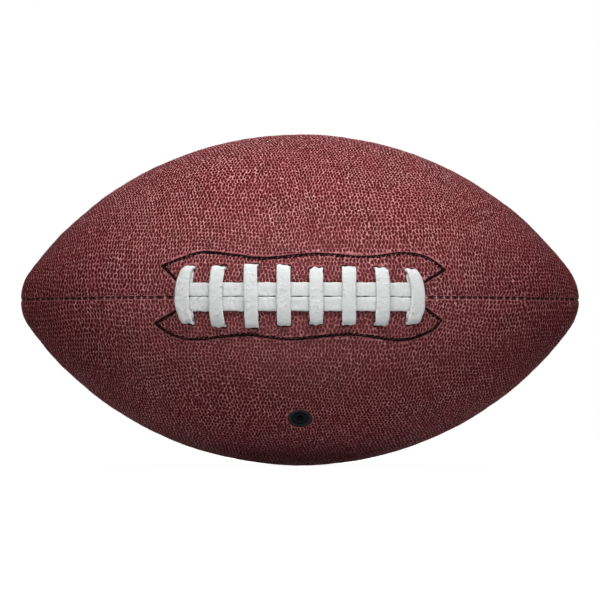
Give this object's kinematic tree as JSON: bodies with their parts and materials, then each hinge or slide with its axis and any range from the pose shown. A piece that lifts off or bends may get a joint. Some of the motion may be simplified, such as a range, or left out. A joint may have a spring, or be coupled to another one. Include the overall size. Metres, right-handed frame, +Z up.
{
  "type": "american football",
  "caption": "Laced prolate ball of sewn pebbled panels with linings over an air bladder, and a needle valve in one panel.",
  "frame": {"origin": "centre of the ball, on its long axis midway between the tips", "axes": "+X along the long axis, -Y out of the lace, +Z up when the lace faces the viewer"},
  "size_m": [0.285, 0.1726, 0.169],
  "materials": {
    "cover": "satin",
    "lining": "matte",
    "seam_thread": "matte",
    "webbing": "matte",
    "facing_thread": "matte",
    "lace": "matte",
    "tongue": "matte",
    "bladder": "matte",
    "valve_boot": "matte",
    "valve_plug": "matte"
  },
  "bodies": {
    "root": {"panel_upper_front": "cover", "panel_lower_front": "cover", "panel_upper_back": "cover", "panel_lower_back": "cover", "lining_upper_front": "lining", "lining_lower_front": "lining", "lining_upper_back": "lining", "lining_lower_back": "lining", "seam_thread_front": "seam_thread", "seam_thread_top": "seam_thread", "seam_thread_back": "seam_thread", "seam_thread_bottom": "seam_thread", "facing_upper": "webbing", "facing_lower": "webbing", "facing_thread_upper": "facing_thread", "facing_thread_lower": "facing_thread", "lace": "lace", "lace_tongue": "tongue", "bladder": "bladder", "valve_patch": "webbing", "valve_boot": "valve_boot", "valve_plug": "valve_plug"}
  },
  "joints": []
}
